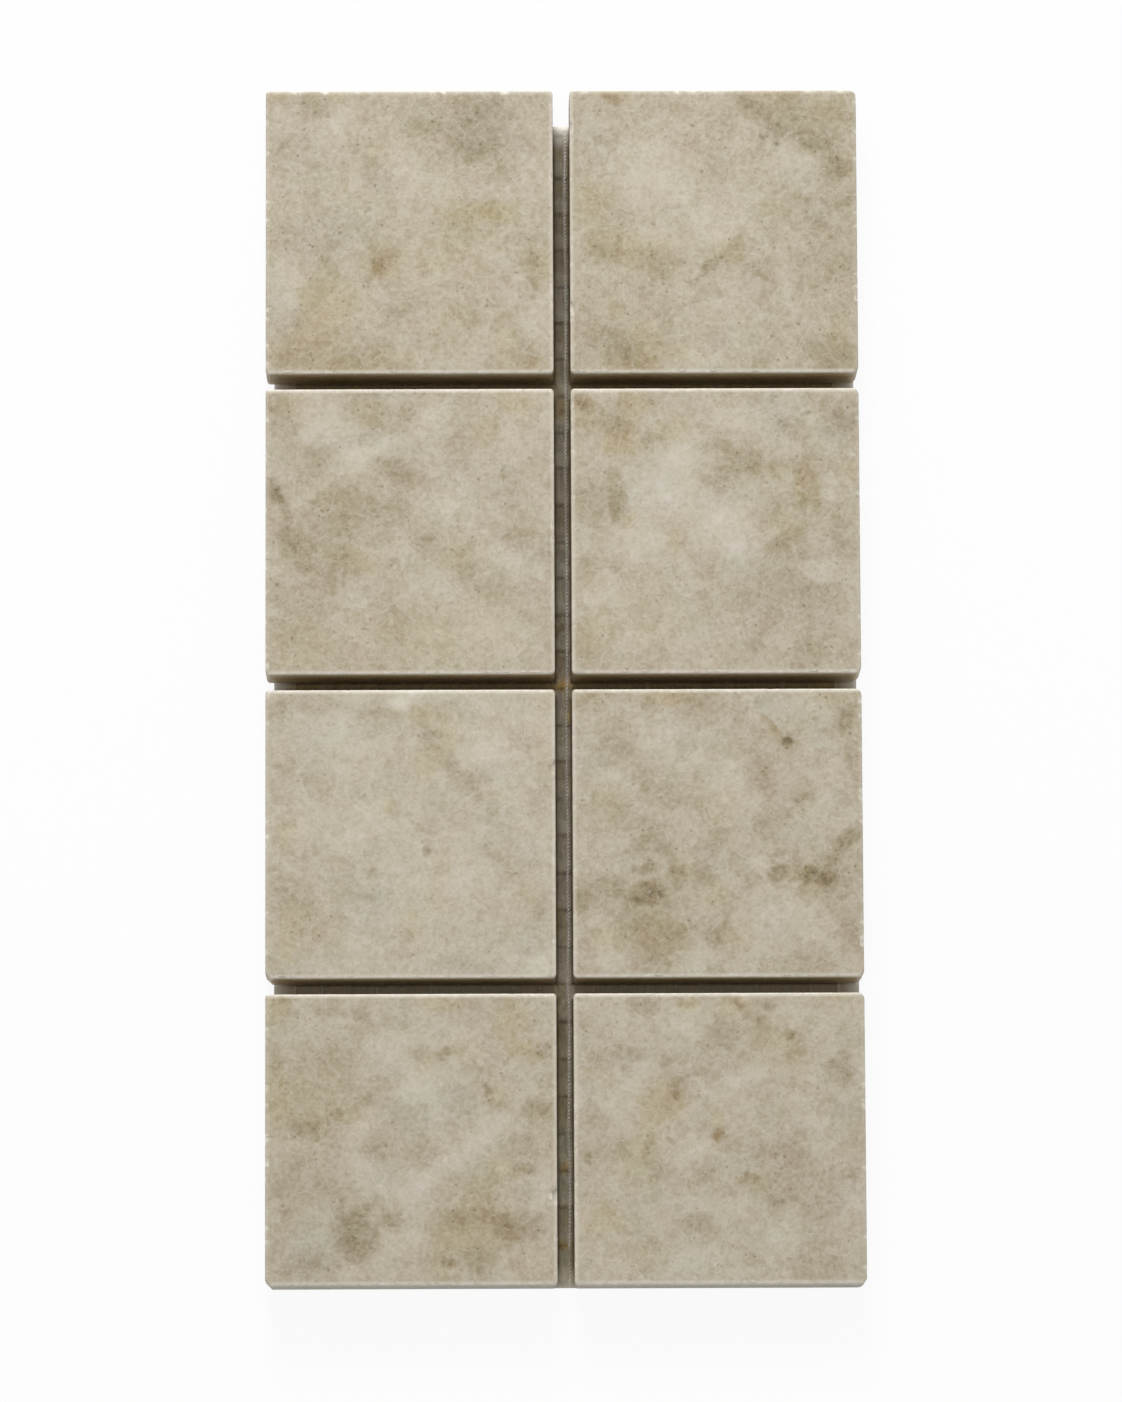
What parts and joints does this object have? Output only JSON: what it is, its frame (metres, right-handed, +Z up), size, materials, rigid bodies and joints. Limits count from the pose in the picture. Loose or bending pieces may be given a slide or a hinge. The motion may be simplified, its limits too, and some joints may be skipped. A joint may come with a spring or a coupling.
{
  "type": "quartzite mosaic tile sheet",
  "caption": "Flat mosaic sheet of square honed quartzite tiles with open grout joints, held together by a woven glass-yarn backing mesh, for bedding on a wall or floor.",
  "frame": {"origin": "middle of the sheet's underside, on the surface it lies on", "axes": "+Z up out of the show faces, X across the two columns of tiles, +Y along the rows towards row 1"},
  "size_m": [0.0988, 0.1998, 0.0105],
  "materials": {
    "stone": "honed matte, warm grey-beige quartzite with cloudy taupe patches",
    "mesh_yarn": "resin-coated glass yarn, off-white"
  },
  "bodies": {
    "root": {"tile_row1_left": "stone", "tile_row1_right": "stone", "tile_row2_left": "stone", "tile_row2_right": "stone", "tile_row3_left": "stone", "tile_row3_right": "stone", "tile_row4_left": "stone", "tile_row4_right": "stone", "backing_mesh_far": "mesh_yarn", "backing_mesh_near": "mesh_yarn"}
  },
  "joints": []
}
